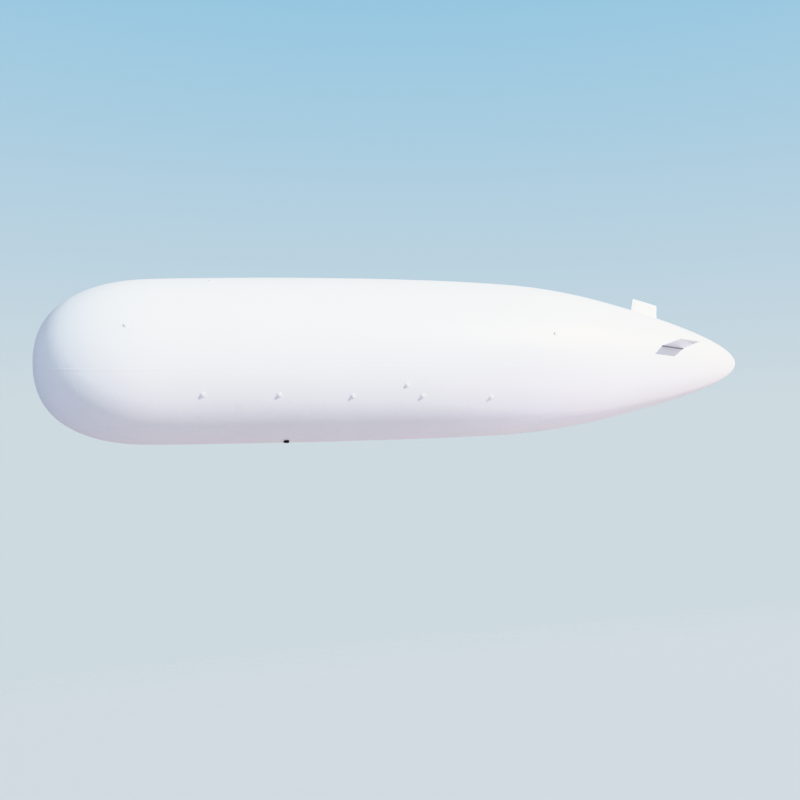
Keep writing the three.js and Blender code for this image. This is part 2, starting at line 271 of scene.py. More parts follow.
def outward(piece):
    """Turns all faces of a closed piece outwards."""
    edit(piece, action="SELECT")
    bpy.ops.mesh.normals_make_consistent(inside=False)
    start()


start()
print("selected before the first piece:", len(bpy.context.selected_objects))

# %% [markdown]
# ## Moving vertices by a rule
# Most pieces here follow the curved film. Sculpting that by hand would never fit, so a flat grid is made by
# its operator and each vertex is then moved to where a rule puts it. The UV map is written in real metres, so
# that a weave or a knurl has its true size everywhere.

# %% Vertex helpers
def places(piece):
    """The piece's vertices as an array."""
    flat = np.empty(len(piece.data.vertices) * 3)
    piece.data.vertices.foreach_get("co", flat)
    return flat.reshape(-1, 3)


def move_to(piece, points):
    """Puts the piece's vertices at these points."""
    piece.data.vertices.foreach_set("co", np.ascontiguousarray(points).ravel())
    piece.data.update()


def lay_uv(piece, u, v):
    """Gives the piece a UV map with a u and a v, in metres, for each vertex."""
    layer = piece.data.uv_layers[0] if piece.data.uv_layers else piece.data.uv_layers.new(name="UVMap")
    corners = np.empty(len(piece.data.loops), int)
    piece.data.loops.foreach_get("vertex_index", corners)
    layer.data.foreach_set("uv", np.stack([u[corners], v[corners]], axis=1).ravel())


def new_grid(x_steps, y_steps):
    """A flat grid with so many steps each way, and its vertices' x and y, which run from -1 to 1."""
    grid = added(bpy.ops.mesh.primitive_grid_add, x_subdivisions=x_steps, y_subdivisions=y_steps, size=2)
    return grid, places(grid)[:, :2].T


def line_number(coordinate, lines):
    """Which of a grid's lines a coordinate from -1 to 1 lies on, counted from 0."""
    return np.rint((coordinate + 1) / 2 * (lines - 1)).astype(int)


print("on a grid of 5 lines, 0 lies on line", line_number(0.0, 5), "and 1 on line", line_number(1.0, 5))

# %% [markdown]
# ## Handing a piece over
# A finished piece gets its name, its material and its smooth shading in one place, so that none is forgotten.
# It then rides on its body, and takes the place of the solids that it stands for.

# %% Hand-over helper
def settle(piece, name, material, nodes=(), body="root", sharp=35):
    """Names, paints and smooths a finished piece, and fixes it to its body in place of its solids."""
    piece.name = piece.data.name = name
    piece.data.materials.clear()
    piece.data.materials.append(material)
    only(piece)
    bpy.ops.object.transform_apply(location=True, rotation=True, scale=True)
    bpy.ops.object.shade_smooth_by_angle(angle=math.radians(sharp))
    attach(piece, body)
    if nodes:
        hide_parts(*nodes)
    return piece


# %% [markdown]
# ## Colours and nodes
# Colours are picked as sRGB hex values, the way a colour picker shows them, and one function turns them into
# the linear values that the shader needs. One more function adds a shader node. Each of its named inputs is a
# value, an output or a whole node, whose first output is then meant, so a material reads from top to bottom.

# %% Material helpers
def linear(colour):
    """A hex sRGB colour as linear red, green, blue and alpha."""
    parts = [int(colour[i : i + 2], 16) / 255 for i in (1, 3, 5)]
    return (*(p / 12.92 if p <= 0.04045 else ((p + 0.055) / 1.055) ** 2.4 for p in parts), 1)


def add_node(tree, kind, inputs=(), **settings):
    """Adds one node. Its inputs, by name or number, are values, outputs or nodes (the first output in use)."""
    made = tree.nodes.new("ShaderNode" + kind)
    for name, value in settings.items():
        setattr(made, name, value)
    for socket, value in dict(inputs).items():
        if isinstance(value, bpy.types.Node):
            value = next(output for output in value.outputs if output.enabled)
        if isinstance(value, bpy.types.NodeSocket):
            tree.links.new(value, made.inputs[socket])
        else:
            made.inputs[socket].default_value = value
    return made


def empty_nodes(owner):
    """Empties the node tree of a material or a world, and returns `add_node` for that tree."""
    owner.use_nodes = True
    owner.node_tree.nodes.clear()
    return partial(add_node, owner.node_tree)


def new_material(name):
    """A material with an empty node tree, and `add_node` for that tree."""
    material = bpy.data.materials.new(name)
    return material, empty_nodes(material)


def finish_material(node, mask, first, second, bumps, look):
    """Ends a material: a mask blends two colours, and heights with their strength and depth are stacked."""
    look = {**look, "Base Color": node("Mix", {"Factor": mask, "A": first, "B": second}, data_type="RGBA")}
    for height, strength, depth in bumps:
        below = {"Normal": look["Normal"]} if "Normal" in look else {}
        look["Normal"] = node("Bump", {"Height": height, "Strength": strength, "Distance": depth, **below})
    node("OutputMaterial", {"Surface": node("BsdfPrincipled", look)})


print("the middle grey #808080 is", round(linear("#808080")[0], 3), "in linear light")

# %% [markdown]
# ## White PVC film
# The envelope is calendered PVC film, about 0.2 mm thick, plasticised and pigmented white. Rolling it between
# steel cylinders leaves it with a soft sheen, neither matt nor mirror-like. Its refractive index is about
# 1.53. It was folded to be packed, so faint creases cross it, and it has picked up a little dust. Next to a
# seam the film puckers, because the doubled weld does not stretch. The puckers are 60 to 90 mm apart and die
# away within 100 mm of the seam. All this could be modelled, but bumps do it without a face. The gores' own
# UV map, which holds the distance to the seam, drives the puckers.

# %% Film material
FILM_WHITE, FILM_SHADED, FILM_DUST = "#F4F5F6", "#ECEDEE", "#D9D7D1"
FILM_INDEX = 1.53
CLOUD, DUST, GRAIN = 0.7, 0.16, 0.004
CREASE_CELL, CREASE_EDGE, CREASE_DEPTH = 0.55, 0.03, 0.0012  # the edge is a share of the cell
CREASE_BEND, BEND_SCALE = 0.35, 1.1
PUCKER, PUCKER_DEPTH, PUCKER_REACH, PUCKER_STRETCH = 0.05, 0.004, 0.1, 0.25


def film_material(name, puckers=False):
    """White PVC film with soft sheen, fold creases, grain and, on a gore, puckers along its seams."""
    material, node = new_material(name)
    where = node("TexCoord").outputs["Object"]
    cloud = node("TexNoise", {"Vector": where, "Scale": 1 / CLOUD, "Detail": 4, "Roughness": 0.55})
    tint = node("Mix", {"Factor": cloud, "A": linear(FILM_WHITE), "B": linear(FILM_SHADED)}, data_type="RGBA")
    specks = node("TexNoise", {"Vector": where, "Scale": 1 / DUST, "Detail": 6, "Roughness": 0.7})
    dust = node("MapRange", {"Value": specks, "From Min": 0.56, "From Max": 0.8, "To Max": 0.22})
    sheen = node("MapRange", {"Value": cloud, "From Min": 0.3, "From Max": 0.7, "To Min": 0.36, "To Max": 0.46})

    drift = node("TexNoise", {"Vector": where, "Scale": BEND_SCALE, "Detail": 1}).outputs["Color"]
    bent = node("VectorMath", {0: drift, 1: [CREASE_BEND] * 3}, operation="MULTIPLY")
    folded = node("VectorMath", {0: where, 1: bent}, operation="ADD")
    creases = node("TexVoronoi", {"Vector": folded, "Scale": 1 / CREASE_CELL}, feature="DISTANCE_TO_EDGE")
    crease_line = node("MapRange", {"Value": creases, "From Max": CREASE_EDGE}, interpolation_type="SMOOTHSTEP")
    grain = node("TexNoise", {"Vector": where, "Scale": 1 / GRAIN, "Detail": 2})
    bumps = [(crease_line, 0.25, CREASE_DEPTH), (grain, 0.12, 0.0004)]
    if puckers:
        metres = node("SeparateXYZ", {"Vector": node("TexCoord").outputs["UV"]})
        to_seam = metres.outputs["Y"]
        stretched = node("Math", {0: to_seam, 1: PUCKER_STRETCH}, operation="MULTIPLY")
        run = node("CombineXYZ", {"X": metres.outputs["X"], "Y": stretched})
        ripple = node("TexNoise", {"Vector": run, "Scale": 1 / PUCKER, "Detail": 1, "Roughness": 0.4})
        level = node("Math", {0: ripple, 1: 0.5}, operation="SUBTRACT")
        fading = {"Value": to_seam, "From Max": PUCKER_REACH, "To Min": 1, "To Max": 0}
        near_seam = node("MapRange", fading, interpolation_type="SMOOTHERSTEP")
        pucker = node("Math", {0: level, 1: near_seam}, operation="MULTIPLY")
        bumps.append((pucker, 0.5, PUCKER_DEPTH))
    finish_material(node, dust, tint, linear(FILM_DUST), bumps, {"Roughness": sheen, "IOR": FILM_INDEX})
    return material


FILM = film_material("calendered_pvc_film")
GORE_FILM = film_material("calendered_pvc_gore_film", puckers=True)
print("film materials:", FILM.name, GORE_FILM.name)

# %% [markdown]
# ## Welded film
# Film is joined by a high-frequency welder, whose brass electrode presses a fine knurl of little diamonds
# into the hot seam. The knurl is about 2.5 mm across on the real tool. It is drawn at 5 mm, so that it still
# shows in a close view. Two crossed waves in the UV map make the diamonds, turned by 45 degrees. Pressed film
# is a little smoother than loose film. The tape at the fins' roots is welded with the same tool. Its grey is
# painted shade, which darkens the crease along each fin's root.

# %% Weld material
KNURL, WELD_CLOUD = 0.005, 0.3
# The root tape's grey is painted shade for the crease where each fin meets the film.
ROOT_SHADE_GREY_PALE, ROOT_SHADE_GREY_DARK = "#B6B2BA", "#A8A4AD"
WAVES_PER_UNIT = 20 / (2 * math.pi)  # of a wave texture whose scale is 1


def weld_material(name, pale=FILM_WHITE, shaded=FILM_SHADED):
    """Film pressed into a fine diamond knurl by a welding electrode."""
    material, node = new_material(name)
    metres = node("TexCoord").outputs["UV"]
    slanted = node("Mapping", {"Vector": metres, "Rotation": (0, 0, math.radians(45))})
    heights = {}
    for number, direction in enumerate("XY"):
        waves = {"Vector": slanted, "Scale": 1 / KNURL / WAVES_PER_UNIT, "Distortion": 0}
        ridges = node("TexWave", waves, bands_direction=direction, wave_profile="SIN")
        heights[number] = ridges.outputs["Fac"]
    diamonds = node("Math", heights, operation="MULTIPLY")
    where = node("TexCoord").outputs["Object"]
    cloud = node("TexNoise", {"Vector": where, "Scale": 1 / WELD_CLOUD, "Detail": 3})
    look = {"Roughness": 0.34, "IOR": FILM_INDEX}
    finish_material(node, cloud, linear(pale), linear(shaded), [(diamonds, 0.35, 0.0006)], look)
    return material


WELD = weld_material("knurled_film_weld")
# Grey tape: painted shade along the fins' roots.
ROOT_TAPE_PAINTED_SHADE = weld_material("root_tape_painted_shade", ROOT_SHADE_GREY_PALE, ROOT_SHADE_GREY_DARK)
print("weld materials:", WELD.name, ROOT_TAPE_PAINTED_SHADE.name)

# %% [markdown]
# ## The gores
# A gore is a long strip of film, wide amidships and narrow at its ends. It is cut flat, and takes its curve
# only when the gas fills it. So it starts here as a flat grid too, and every vertex is moved to its place on
# the film. The steps crowd together towards both ends, where the outline turns most. Solidify then gives the
# wall the same 10 mm as the frame's solids, inwards, and closes its rim.

# %% Gores
WALL = 0.01
GORE_STEPS, GORE_ARC_STEPS = 220, 20
NOSE_RIM, TAIL_RIM = 0.25, 0.12
NOSE_STATION = float(station_of(NOSE_RIM, 0, NOSE_LENGTH))
TAIL_STATION = float(station_of(TAIL_RIM, LENGTH - NOSE_LENGTH, LENGTH))


def stations_along(coordinate):
    """Stations from the nose disc, at -1, to the tail disc, at 1, crowded towards both ends."""
    fraction = (coordinate + 1) / 2
    return NOSE_STATION + (TAIL_STATION - NOSE_STATION) * (1 - np.cos(np.pi * fraction)) / 2


def make_gore(name, middle):
    """One film strip, centred on an angle."""
    gore, (along, across) = new_grid(GORE_STEPS, GORE_ARC_STEPS)
    station, swing = stations_along(along), across * GORE_ANGLE / 2
    move_to(gore, film_point(station, middle + swing))
    lay_uv(gore, station, np.radians(GORE_ANGLE / 2 - np.abs(swing)) * radius_at(station))
    modify(gore, "SOLIDIFY", thickness=WALL, offset=-1, use_even_offset=True)
    return settle(gore, f"film_gore_{name}", GORE_FILM, [f"gore_{name}"])


for number, name in enumerate(GORE_NAMES):
    gore = make_gore(name, number * GORE_ANGLE)
gore_width = float(2 * math.pi * radius_at(WIDEST) / len(GORE_NAMES))
print(len(GORE_NAMES), "gores, each with", len(gore.data.polygons), "faces and", round(gore_width, 2), "m wide")

# %% [markdown]
# ## The seam tapes
# Where two gores meet, a tape of the same film is welded over the joint. It is 30 mm wide and stands half a
# millimetre proud. From far off it hardly shows, but it catches the light along its edges. Two lines cut in
# the gores would not do that. So a thin grid follows the seam in the same way as a gore does, and its long
# edges are pressed down onto the film.

# %% Seam tapes
TAPE_WIDTH, TAPE_THICKNESS = 0.03, 0.0005
TAPE_LIFT, TAPE_EDGE = 0.0005, 0.0002
TAPE_COLUMNS = np.array((-1, -0.93, -0.45, 0, 0.45, 0.93, 1))


def make_tape(name, degrees):
    """One weld tape along a seam."""
    tape, (along, side) = new_grid(GORE_STEPS, len(TAPE_COLUMNS) - 1)
    station = stations_along(along)
    across = TAPE_COLUMNS[line_number(side, len(TAPE_COLUMNS))] * TAPE_WIDTH / 2
    lift = np.where(np.abs(side) > 0.99, TAPE_EDGE, TAPE_LIFT)
    move_to(tape, film_point(station, degrees + np.degrees(across / radius_at(station)), lift))
    lay_uv(tape, station, across)
    modify(tape, "SOLIDIFY", thickness=TAPE_THICKNESS, offset=-1)
    return settle(tape, name, WELD, sharp=20)


for number in range(len(GORE_NAMES)):
    tape = make_tape(f"seam_tape_{number + 1}", (number + 0.5) * GORE_ANGLE)
print(len(GORE_NAMES), "tapes with", len(tape.data.polygons), "faces each")

# %% [markdown]
# ## The end discs
# Eight points can't be welded in one spot, so a round disc of film covers the gores' tips at each end. A cap
# cut from a ball would not fit the outline. So a circle is filled with one face, then inset again and again,
# which leaves rings that can bend over the round end. The rim is pressed down over the tapes.

# %% End discs
DISC_STEPS, DISC_RINGS = 96, 8
DISC_LAP, DISC_LIFT, DISC_THICKNESS = 0.03, 0.0022, 0.0015
RIM_WIDTH = 0.003


def ringed_circle(reach, widths):
    """A flat disc with rings, whose widths are given from the rim inwards, and its vertices' x and y."""
    disc = added(bpy.ops.mesh.primitive_circle_add, vertices=DISC_STEPS, radius=reach, fill_type="NGON")
    edit(disc, action="SELECT")
    for width in widths:
        bpy.ops.mesh.inset(thickness=width)
    bpy.ops.mesh.poke()
    start()
    return disc, places(disc)[:, :2].T


def make_end_disc(name, rim, low, high, side):
    """A film disc over one end. Side is 1 at the nose and -1 at the tail."""
    reach = rim + DISC_LAP
    ring = (rim - RIM_WIDTH) / (DISC_RINGS + 1)
    disc, (x, y) = ringed_circle(reach, [RIM_WIDTH, DISC_LAP] + [ring] * DISC_RINGS)
    radius, degrees = np.hypot(x, y), side * np.degrees(np.arctan2(y, x))
    station = station_of(np.minimum(radius, reach), low, high)
    lift = np.where(radius > reach - RIM_WIDTH / 2, TAPE_EDGE, DISC_LIFT)
    move_to(disc, film_point(station, degrees, lift))
    lay_uv(disc, radius, np.radians(degrees) * reach)
    modify(disc, "SOLIDIFY", thickness=DISC_THICKNESS, offset=-1)
    return settle(disc, f"film_{name}", FILM, [name])


make_end_disc("disc_nose", NOSE_RIM, 0, NOSE_LENGTH, 1)
make_end_disc("disc_tail", TAIL_RIM, LENGTH - NOSE_LENGTH, LENGTH, -1)
print("end discs", 2 * (NOSE_RIM + DISC_LAP), "m and", 2 * (TAIL_RIM + DISC_LAP), "m across")

# %% [markdown]
# ## Sheets with soft edges
# Fins and loop patches are both sheets of film with a pressed hem. The welder flattens the hem, and the
# middle stays fuller. A plain grid would put its lines in the wrong places, so `hemmed_grid` spaces them by a
# table of distances from the edge: close together in the hem and on the slope beside it, wide apart in the
# middle. It also rounds the corners, by squeezing the square corner cells into quarter discs.

# %% Hemmed sheets
def hem_lines(size, edge, middle):
    """Distances across a sheet of a size: its hem lines at both edges and even steps between them."""
    edge = np.array(edge)
    inner = np.linspace(edge[-1], size - edge[-1], middle + 1)[1:-1]
    return np.concatenate([edge, inner, (size - edge)[::-1]])


def rounded(to_side, to_end, radius):
    """Distances to two edges, squeezed near their corner so that it becomes round."""
    a, b = np.clip(1 - to_side / radius, 0, 1), np.clip(1 - to_end / radius, 0, 1)
    both = (a > 0) & (b > 0)
    new_side = np.where(both, radius * (1 - a * np.sqrt(1 - b**2 / 2)), to_side)
    new_end = np.where(both, radius * (1 - b * np.sqrt(1 - a**2 / 2)), to_end)
    return new_side, new_end


def hemmed_grid(width, height, edge, middle, radius, square_foot=False):
    """A flat sheet and, for each vertex, its x, y and distance to the nearest edge."""
    xs, ys = hem_lines(width, edge, middle[0]), hem_lines(height, edge, middle[1])
    sheet, (across, upward) = new_grid(len(xs) - 1, len(ys) - 1)
    x, y = xs[line_number(across, len(xs))], ys[line_number(upward, len(ys))]
    at_left, at_foot = x < width / 2, y < height / 2
    to_side, to_end = np.minimum(x, width - x), np.minimum(y, height - y)
    round_side, round_end = rounded(to_side, to_end, radius)
    if square_foot:
        round_side, round_end = np.where(at_foot, to_side, round_side), np.where(at_foot, to_end, round_end)
    x = np.where(at_left, round_side, width - round_side)
    y = np.where(at_foot, round_end, height - round_end)
    return sheet, x, y, np.minimum(to_side, to_end)


def smooth_step(value):
    """0 below 0, 1 above 1 and a soft S between them."""
    value = np.clip(value, 0, 1)
    return value * value * (3 - 2 * value)


def drop_rim(sheet, drop):
    """Extrudes a sheet's open rim straight down."""
    edit(sheet, "EDGE")
    bpy.ops.mesh.select_non_manifold(
        extend=False, use_wire=False, use_multi_face=False, use_non_contiguous=False
    )
    bpy.ops.mesh.extrude_edges_move(TRANSFORM_OT_translate={"value": (0, 0, -drop)})
    start()


print("a 100 mm sheet with a 20 mm hem has lines at", hem_lines(100, (0, 10, 20), 3))

# %% [markdown]
# ## The fins
# A fin stands on the envelope like a flat board, and its foot has to follow the envelope's curve. Cutting
# that foot with a Boolean would leave ragged faces along it. So each fin first gets a frame of its own, x aft
# and y outwards, in which the envelope's line along its root is known. The later cells work in that frame.

# %% Fin places
FINS = {"fin_left": (0, 9.87), "fin_top": (90, 9.965), "fin_right": (180, 9.87)}  # angle, front station
FIN_RUN, FIN_SPAN, FIN_HALF = 0.52, 0.38, 0.006
FIN_LEAN = math.tan(math.radians(4))
FIN_CORNER = 0.014
ROOT_POINTS = 60


def fin_frame(degrees, front_station):
    """A fin's own frame, x aft and y outwards, with its chord and the envelope's line along its root."""
    line = film_point(np.linspace(front_station, front_station + FIN_RUN, ROOT_POINTS), degrees)
    front, back = Vector(line[0]), Vector(line[-1])
    aft = (back - front).normalized()
    out = Vector((0, -math.cos(math.radians(degrees)), math.sin(math.radians(degrees))))
    out = (out - aft * out.dot(aft)).normalized()
    turn = Matrix((aft, out, aft.cross(out))).transposed()
    root = (line - np.array(front)) @ np.array(turn)
    return Matrix.Translation(front) @ turn.to_4x4(), (back - front).length, root[:, :2]


fins = {}
for name, spot in FINS.items():
    fins[name] = fin_frame(*spot)
    print(name, "has a chord of", round(fins[name][1], 3), "m")

# %% [markdown]
# ## The fins' panels
# A panel is two sheets of film over a thin stiff core, welded together all round in a hem. A bevelled board
# would be quicker, but it has no hem. So one hemmed sheet gives one face: its outer corners are round, and
# its middle is raised over the core. Mirror makes the other face, and Boolean punches the two eyelet holes.

# %% Fin panels
HEM, HEM_HALF, FIELD_SLOPE = 0.02, 0.0018, 0.014
PANEL_EDGE = 0.0008
FIN_EDGE = (0, 0.0035, 0.007, 0.0105, 0.014, 0.017, 0.02, 0.022, 0.027, 0.032, 0.034)
EYELET_CHORDS = (0.66, 0.78)
EYELET_HEIGHT, EYELET_RADIUS = 0.76 * FIN_SPAN, 0.013
DRILL_STEPS, DRILL_LENGTH = 40, 0.05


def fin_panel(chord, root):
    """A fin's panel in its own frame, before the eyelets are punched."""
    panel, x, y, depth = hemmed_grid(chord, FIN_SPAN, FIN_EDGE, (12, 8), FIN_CORNER, square_foot=True)
    lean = FIN_LEAN * y
    leaned = lean + x * (chord - 2 * lean) / chord
    foot = np.interp(leaned, root[:, 0], root[:, 1])
    height = foot + y * (1 - foot / FIN_SPAN)
    full = smooth_step((depth - HEM) / FIELD_SLOPE)
    move_to(panel, np.stack([leaned, height, HEM_HALF + (FIN_HALF - HEM_HALF) * full], axis=1))
    drop_rim(panel, HEM_HALF)
    modify(panel, "MIRROR", use_axis=(False, False, True), merge_threshold=1e-5)
    outward(panel)
    soften(panel, PANEL_EDGE)
    return panel


def punch(panel, chord):
    """Punches the two eyelet holes through a panel."""
    drills = []
    for fraction in EYELET_CHORDS:
        size = {"vertices": DRILL_STEPS, "radius": EYELET_RADIUS, "depth": DRILL_LENGTH}
        spot = (fraction * chord, EYELET_HEIGHT, 0)
        drills.append(added(bpy.ops.mesh.primitive_cylinder_add, location=spot, **size))
    drill = join(drills)
    modify(panel, "BOOLEAN", object=drill, operation="DIFFERENCE", solver="EXACT")
    bpy.data.objects.remove(drill)


for name, (place, chord, root) in fins.items():
    panel = fin_panel(chord, root)
    punch(panel, chord)
    panel.data.transform(place)
    settle(panel, f"film_{name}", FILM, [name])
    print(panel.name, "has", len(panel.data.polygons), "faces")

# %% [markdown]
# ## The fins' root strips
# A fin is held by two strips of tape, one on each face. Their grey is painted shade, a fine dark line along its
# root.
# Each strip is welded up the fin and then turns out over the envelope. Its section is an L with a round
# inside corner. A straight L would stand off the curved film, so a grid is bent into that section, and the
# half that lies on the envelope follows the film.

# %% Root strips
STRIP_UP, STRIP_OUT, STRIP_ROUND = 0.014, 0.017, 0.005
STRIP_THICKNESS, STRIP_GAP, STRIP_INSET = 0.0009, 0.0003, 0.001
STRIP_STEPS, BEND_STEPS = 40, 4
EDGE_SHARE, MIDDLE_SHARE = 0.97, 0.6

bend = np.linspace(0, math.pi / 2, BEND_STEPS + 1)
corner = STRIP_ROUND * (1 - np.stack([np.sin(bend), np.cos(bend)], axis=1))
leg = [(STRIP_UP * share, 0) for share in (1, EDGE_SHARE, MIDDLE_SHARE)]
foot = [(0, STRIP_OUT * share) for share in (MIDDLE_SHARE, EDGE_SHARE, 1)]
STRIP_SECTION = np.concatenate([leg, corner, foot])  # heights and distances out, from end to end of the L


def make_root_strip(name, degrees, fin, side):
    """One strip along a fin's root, on the side that its sign says."""
    place, chord, root = fin
    strip, (along, over) = new_grid(STRIP_STEPS, len(STRIP_SECTION) - 1)
    x = (along + 1) / 2 * (chord - 2 * STRIP_INSET) + STRIP_INSET
    height, out = STRIP_SECTION[line_number(over, len(STRIP_SECTION))].T
    off_middle = HEM_HALF + STRIP_THICKNESS + out
    in_fin = np.stack([x, np.interp(x, root[:, 0], root[:, 1]) + height, side * off_middle], axis=1)
    on_fin = in_fin @ np.array(place.to_3x3().transposed()) + np.array(place.translation)
    station = on_fin[:, 0] + CENTRE_STATION
    around = degrees - side * np.degrees(off_middle / radius_at(station))
    on_film = film_point(station, around, STRIP_THICKNESS + STRIP_GAP + height)
    low = np.clip(1 - height / STRIP_UP, 0, 1)[:, None] ** 0.5
    move_to(strip, on_fin * (1 - low) + on_film * low)
    lay_uv(strip, x, height + out)
    modify(strip, "SOLIDIFY", thickness=STRIP_THICKNESS, offset=0)
    outward(strip)
    # The strip's grey paints the shade in the crease along the fin's root.
    return settle(strip, name, ROOT_TAPE_PAINTED_SHADE)


for name, fin in fins.items():
    for letter, side in (("a", 1), ("b", -1)):
        strip = make_root_strip(f"{name}_strip_{letter}", FINS[name][0], fin, side)
print(2 * len(fins), "root strips of", len(strip.data.polygons), "faces")

# %% [markdown]
# ## Nickel plate
# Each hole in a fin is lined by a pressed eyelet, so that the film doesn't tear there. Nickel-plated brass is
# a metal, so its colour is its reflection, a slightly warm grey, and its index is left at the default. A
# plain metal would look new, so one fine noise gives it the marks of handling, in colour, polish and bump
# alike.

# %% Eyelet material
NICKEL_PALE, NICKEL_WORN = linear("#D2D0CB"), linear("#B7B5B0")
NICKEL_WEAR = 0.004

NICKEL, node = new_material("nickel_plated_brass")
where = node("TexCoord").outputs["Object"]
wear = node("TexNoise", {"Vector": where, "Scale": 1 / NICKEL_WEAR, "Detail": 5, "Roughness": 0.7})
rough = node("MapRange", {"Value": wear, "From Min": 0.3, "From Max": 0.7, "To Min": 0.2, "To Max": 0.38})
look = {"Metallic": 1, "Roughness": rough}
finish_material(node, wear, NICKEL_PALE, NICKEL_WORN, [(wear, 0.15, 0.0002)], look)
print("metal:", NICKEL.name)

# %% [markdown]
# ## Turned pieces
# Eyelets, the valve's cup and its cap are all round. They could be stacked from cylinders, but then every lip
# and groove would be a hard step. So a section is drawn point by point, each at its own radius and height,
# and Spin turns it into a ring. Vertices that meet on the axis are merged.

# %% Spin helpers
def drawn_line(points):
    """A line of edges through these points, selected in edit mode."""
    piece = added(bpy.ops.mesh.primitive_plane_add, size=2)
    edit(piece, "VERT", "SELECT")
    bpy.ops.mesh.merge(type="CENTER")
    bpy.ops.transform.translate(value=points[0])
    for here, there in zip(points, points[1:]):
        bpy.ops.mesh.extrude_vertices_move(TRANSFORM_OT_translate={"value": Vector(there) - Vector(here)})
    bpy.ops.mesh.select_all(action="SELECT")
    return piece


def turned(section, steps):
    """A section of radii and heights, spun round the Z axis."""
    piece = drawn_line([(radius, 0, height) for radius, height in section])
    bpy.ops.mesh.spin(steps=steps, angle=2 * math.pi, center=(0, 0, 0), axis=(0, 0, 1))
    bpy.ops.mesh.select_all(action="SELECT")
    bpy.ops.mesh.remove_doubles(threshold=1e-5)
    bpy.ops.mesh.normals_make_consistent(inside=False)
    start()
    return piece


def copy_of(pattern, name):
    """A copy of a piece with a mesh of its own."""
    twin = bpy.data.objects.new(name, pattern.data.copy())
    bpy.context.scene.collection.objects.link(twin)
    return twin


# %% [markdown]
# ## The eyelets
# An eyelet is pressed together from both faces of the fin: a flange, a rolled lip and a barrel through the
# hole. A plain ring would show the lip only. The section below holds all three for one face, and Mirror adds
# the washer on the other. The six eyelets are alike, so one pattern is made and copied.

# %% Eyelets
EYELET_SECTION = [
    (0.0118, 0.0), (0.0118, 0.0066), (0.0122, 0.0074), (0.0130, 0.0079), (0.0142, 0.0079),
    (0.0190, 0.0071), (0.0200, 0.0063), (0.0196, 0.0060), (0.0127, 0.0062), (0.0127, 0.0),
]  # radius and height of the barrel, the rolled lip and the flange
EYELET_STEPS = 40

pattern = turned(EYELET_SECTION, EYELET_STEPS)
modify(pattern, "MIRROR", use_axis=(False, False, True), merge_threshold=1e-5)
outward(pattern)
for name, (place, chord, root) in fins.items():
    for number, fraction in enumerate(EYELET_CHORDS):
        eyelet = copy_of(pattern, "eyelet")
        eyelet.data.transform(place @ Matrix.Translation((fraction * chord, EYELET_HEIGHT, 0)))
        settle(eyelet, f"{name}_ring_{number + 1}", NICKEL)
bpy.data.objects.remove(pattern)
print("eyelets:", 2 * len(fins), "with", len(eyelet.data.polygons), "faces each")

# %% [markdown]
# ## Polyester webbing
# The loops are cut from 25 mm polyester strap, a flat weave whose warp threads cross over the weft in a
# slanted pattern, 1.4 mm wide. Polyester's index is about 1.6, and its fibres scatter light, so it looks
# matt. Modelled threads would need millions of faces. The weave is drawn from the strap's own UV map instead:
# u runs along the strap and v across it, both in metres. The weave also sets the colour: the strap's own
# white on the threads' crowns, and a grey of painted shade in the hollows between them.

# %% Webbing material
THREAD, THREAD_SLANT, FUZZ = 0.0014, 1.5, 0.0012
# The grey is painted shade in the hollows between threads; the pale is the strap's own white.
STRAP_HOLLOW_SHADE, STRAP_PALE = linear("#DEDFDD"), linear("#F8F9F7")

WEBBING, node = new_material("woven_polyester_strap")
metres = node("SeparateXYZ", {"Vector": node("TexCoord").outputs["UV"]})
slant = node("Math", {0: metres.outputs["Y"], 1: THREAD_SLANT}, operation="MULTIPLY")
weft = node("Math", {0: metres.outputs["X"], 1: slant}, operation="ADD")
threads = {}
for number, place in enumerate((metres.outputs["Y"], weft)):
    turn = node("Math", {0: place, 1: math.pi / THREAD}, operation="MULTIPLY")
    wave = node("Math", {0: turn}, operation="SINE")
    threads[number] = node("Math", {0: wave}, operation="ABSOLUTE")
weave = node("Math", threads, operation="MULTIPLY")
fuzz = node("TexNoise", {"Vector": node("TexCoord").outputs["Object"], "Scale": 1 / FUZZ, "Detail": 3})
bumps = [(weave, 0.8, 0.0004), (fuzz, 0.3, 0.0002)]
look = {"Roughness": 0.8, "IOR": 1.6, "Sheen Weight": 0.15}
# Where the weave is low, the grey paints shade between the threads.
finish_material(node, weave, STRAP_HOLLOW_SHADE, STRAP_PALE, bumps, look)
print("strap:", WEBBING.name)

# %% [markdown]
# ## Tie loops
# A tie loop is a strap bent into a square-topped arch. Its two ends turn outwards and are sewn to a
# round-edged film patch, and the patch is welded to the envelope. The patch, the strap and the stitches are
# made once, on the flat, because all 18 loops are alike. The table gives the loops of the left side.

# %% Loop places
TIES = {  # station behind the nose and angle on the left side
    "nose": (1.285, 6.8),
    "shoulder": (2.45, 51.0),
    "row_1": (2.28, -39.5),
    "row_2": (3.333, -40.5),
    "row_3": (4.403, -42.0),
    "row_4": (5.477, -42.8),
    "row_5": (6.6, -44.8),
    "waist": (5.212, -34.8),
    "aft": (7.673, 1.5),
}
print("loops on each side:", len(TIES))

# %% [markdown]
# ## The loop's patch
# The patch spreads the pull of a loop over the envelope. It is cut from film, and its border is welded down
# all round. A bevelled box would have no border, so this is a hemmed sheet again: a low rim, a pressed border
# and a middle that stands a little higher.

# %% Loop patch
PATCH_LENGTH, PATCH_WIDTH, PATCH_CORNER = 0.09, 0.08, 0.018
PATCH_EDGE = (0, 0.0012, 0.0035, 0.0075, 0.0085, 0.0105, 0.018)
PATCH_RIM, PATCH_HEM, PATCH_TOP = 0.0007, 0.0021, 0.0029
RIM_SLOPE, BORDER, BORDER_SLOPE = 0.0012, 0.0085, 0.002
SUNK = 0.0001

